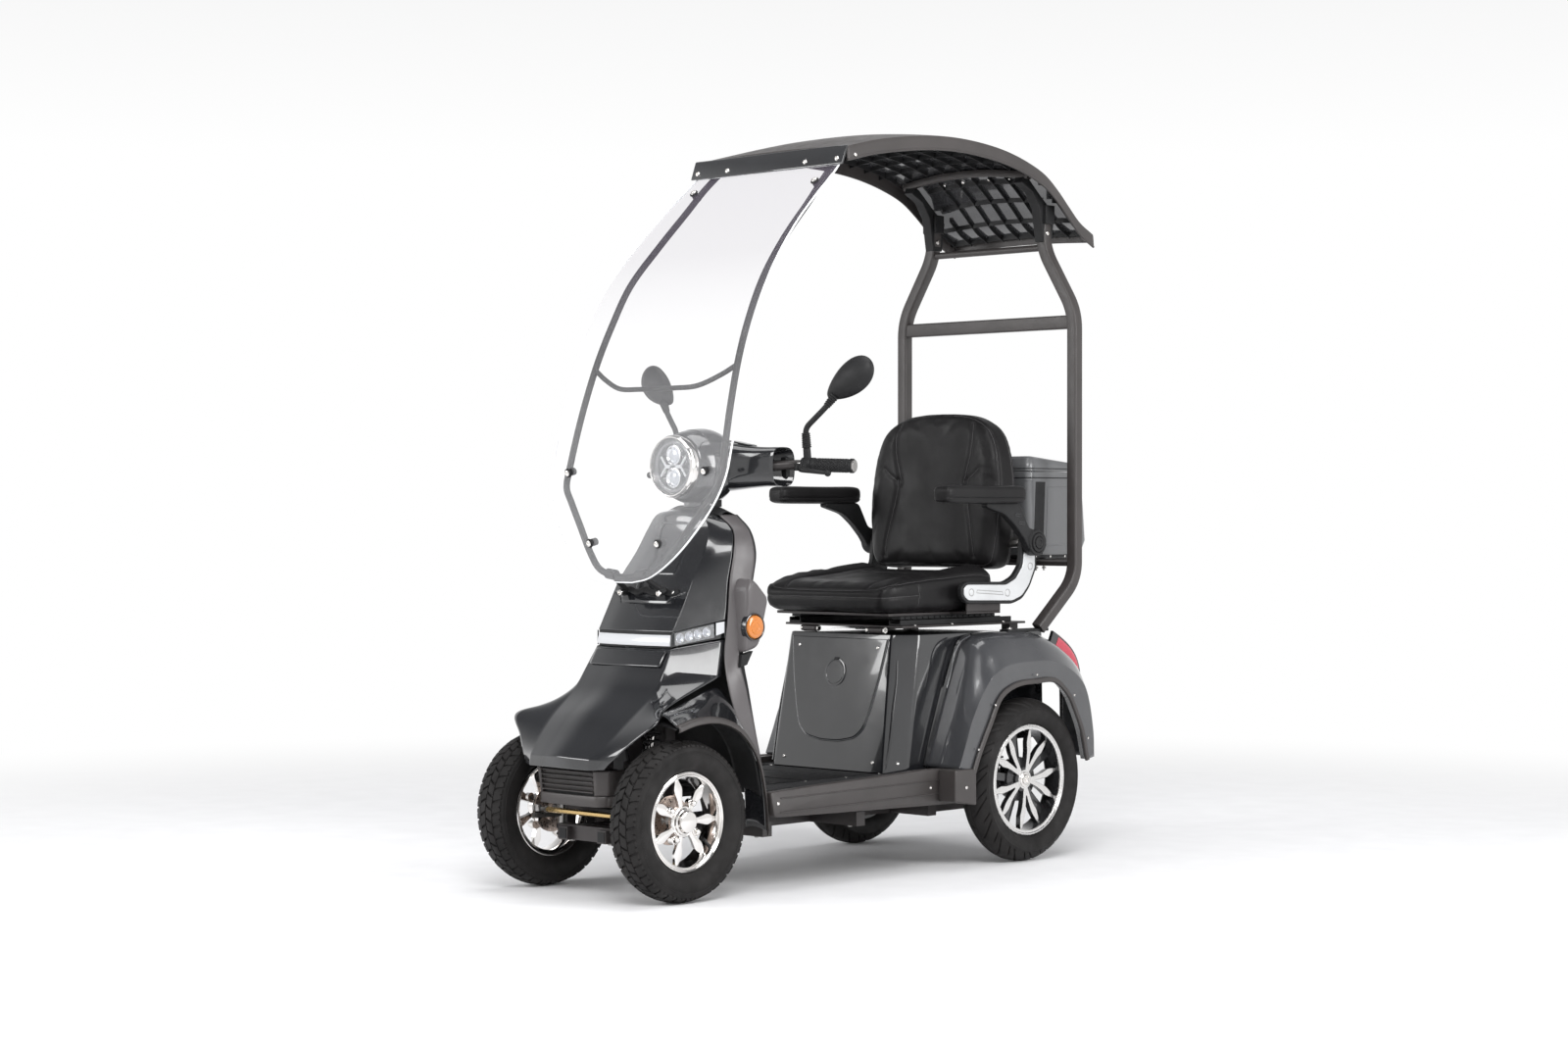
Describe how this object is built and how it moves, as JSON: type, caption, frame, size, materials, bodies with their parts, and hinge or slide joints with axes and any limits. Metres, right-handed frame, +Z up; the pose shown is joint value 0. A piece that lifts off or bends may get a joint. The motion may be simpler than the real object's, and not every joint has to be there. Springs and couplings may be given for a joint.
{
  "type": "mobility scooter",
  "caption": "Open-sided mobility scooter with a rear roll frame, curved roof, front windscreen, tipping captain's seat and a luggage box.",
  "frame": {"origin": "on the ground, under the middle of the outer box", "axes": "+Z up, -Y the way it drives, +X its left side"},
  "size_m": [0.784, 1.707, 1.825],
  "materials": {
    "gloss_black": "high gloss black",
    "gloss_grey": "gloss dark grey",
    "satin_brown_grey": "satin brown-grey moulding",
    "frame_paint": "satin powder coat",
    "black_plastic": "fine grained black",
    "tyre": "black rubber",
    "leatherette": "black leatherette with stitched seams",
    "chrome": "polished",
    "alloy": "black lacquer with machined faces",
    "silver": "silver satin",
    "steel": "bare",
    "passivated": "yellow passivated",
    "spring_red": "gloss red",
    "red_lens": "clear red lens",
    "amber_lens": "amber lens",
    "lamp_lens": "clear lamp lens over chrome",
    "acrylic": "clear acrylic sheet"
  },
  "bodies": {
    "chassis": {"front_fairing": "gloss_black", "bonnet": "gloss_black", "front_mudguard_left": "gloss_black", "front_mudguard_right": "gloss_black", "seat_box": "gloss_black", "battery_cover": "gloss_black", "rear_fender_left": "gloss_black", "rear_fender_right": "gloss_black", "roof_lip": "gloss_black", "top_box_tub": "gloss_black", "leg_shield": "gloss_grey", "side_sill_left": "satin_brown_grey", "side_sill_right": "satin_brown_grey", "nose_grille": "satin_brown_grey", "roof_shell": "satin_brown_grey", "main_frame": "frame_paint", "front_axle": "frame_paint", "rear_axle": "frame_paint", "roll_frame": "frame_paint", "screen_hoop": "frame_paint", "rack": "frame_paint", "foot_deck": "black_plastic", "battery_block": "black_plastic", "rear_shock_left": "spring_red", "rear_shock_right": "spring_red", "tail_lamp_left": "red_lens", "tail_lamp_right": "red_lens", "indicator_left": "amber_lens", "indicator_right": "amber_lens", "light_strip": "lamp_lens", "windscreen": "acrylic"},
    "steering": {"steering_column": "frame_paint", "nacelle": "gloss_black", "headlamp": "lamp_lens", "grip_left": "black_plastic", "grip_right": "black_plastic", "brake_lever_left": "black_plastic", "brake_lever_right": "black_plastic", "mirror_left": "black_plastic", "mirror_right": "black_plastic"},
    "knuckle_left_body": {"knuckle_left": "steel"},
    "knuckle_right_body": {"knuckle_right": "steel"},
    "front_wheel_left": {"front_tyre_left": "tyre", "front_rim_left": "chrome"},
    "front_wheel_right": {"front_tyre_right": "tyre", "front_rim_right": "chrome"},
    "rear_wheel_left": {"rear_tyre_left": "tyre", "rear_rim_left": "alloy"},
    "rear_wheel_right": {"rear_tyre_right": "tyre", "rear_rim_right": "alloy"},
    "tie_rod_body": {"tie_rod": "passivated"},
    "seat_tip": {"seat_base": "frame_paint"},
    "seat_slide_body": {"seat_pan": "silver", "seat_cushion": "leatherette"},
    "seat_back_body": {"seat_back": "leatherette"},
    "armrest_left_body": {"armrest_left": "black_plastic"},
    "armrest_right_body": {"armrest_right": "black_plastic"},
    "top_box_lid_body": {"top_box_lid": "gloss_black"}
  },
  "joints": [
    {"name": "steering_turn", "type": "hinge", "parent": "chassis", "child": "steering", "pos_m": [0, -0.405, 0.897], "axis": [0, 0.2351, 0.972], "range_deg": [-24, 24]},
    {"name": "kingpin_left", "type": "hinge", "parent": "chassis", "child": "knuckle_left_body", "pos_m": [0.165, -0.678, 0.183], "axis": [0, 0, 1], "range_deg": [-24, 24]},
    {"name": "kingpin_right", "type": "hinge", "parent": "chassis", "child": "knuckle_right_body", "pos_m": [-0.165, -0.678, 0.183], "axis": [0, 0, 1], "range_deg": [-24, 24]},
    {"name": "tie_rod_eye", "type": "hinge", "parent": "knuckle_left_body", "child": "tie_rod_body", "pos_m": [0.165, -0.755, 0.19], "axis": [0, 0, 1], "range_deg": [-24, 24]},
    {"name": "front_wheel_left_spin", "type": "hinge", "parent": "knuckle_left_body", "child": "front_wheel_left", "pos_m": [0.227, -0.678, 0.183], "axis": [1, 0, 0], "continuous": true},
    {"name": "rear_wheel_left_spin", "type": "hinge", "parent": "chassis", "child": "rear_wheel_left", "pos_m": [0.281, 0.466, 0.205], "axis": [1, 0, 0], "continuous": true},
    {"name": "front_wheel_right_spin", "type": "hinge", "parent": "knuckle_right_body", "child": "front_wheel_right", "pos_m": [-0.227, -0.678, 0.183], "axis": [1, 0, 0], "continuous": true},
    {"name": "rear_wheel_right_spin", "type": "hinge", "parent": "chassis", "child": "rear_wheel_right", "pos_m": [-0.281, 0.466, 0.205], "axis": [1, 0, 0], "continuous": true},
    {"name": "seat_tip_hinge", "type": "hinge", "parent": "chassis", "child": "seat_tip", "pos_m": [0, 0.112, 0.5855], "axis": [1, 0, 0], "range_deg": [0, 60]},
    {"name": "seat_slide", "type": "slide", "parent": "seat_tip", "child": "seat_slide_body", "axis": [0, -1, 0], "range_m": [0, 0.06]},
    {"name": "seat_back_fold", "type": "hinge", "parent": "seat_slide_body", "child": "seat_back_body", "pos_m": [0, 0.526, 0.8], "axis": [1, 0, 0], "range_deg": [0, 60]},
    {"name": "armrest_left_lift", "type": "hinge", "parent": "seat_slide_body", "child": "armrest_left_body", "pos_m": [0.2675, 0.526, 0.8], "axis": [1, 0, 0], "range_deg": [-80, 0]},
    {"name": "armrest_right_lift", "type": "hinge", "parent": "seat_slide_body", "child": "armrest_right_body", "pos_m": [-0.2675, 0.526, 0.8], "axis": [1, 0, 0], "range_deg": [-80, 0]},
    {"name": "top_box_lid_hinge", "type": "hinge", "parent": "chassis", "child": "top_box_lid_body", "pos_m": [0, 0.592, 0.982], "axis": [1, 0, 0], "range_deg": [0, 75]}
  ],
  "couplings": [
    {"joint": "kingpin_left", "follows": "steering_turn", "ratio": 1},
    {"joint": "kingpin_right", "follows": "steering_turn", "ratio": 1},
    {"joint": "tie_rod_eye", "follows": "steering_turn", "ratio": -1}
  ]
}
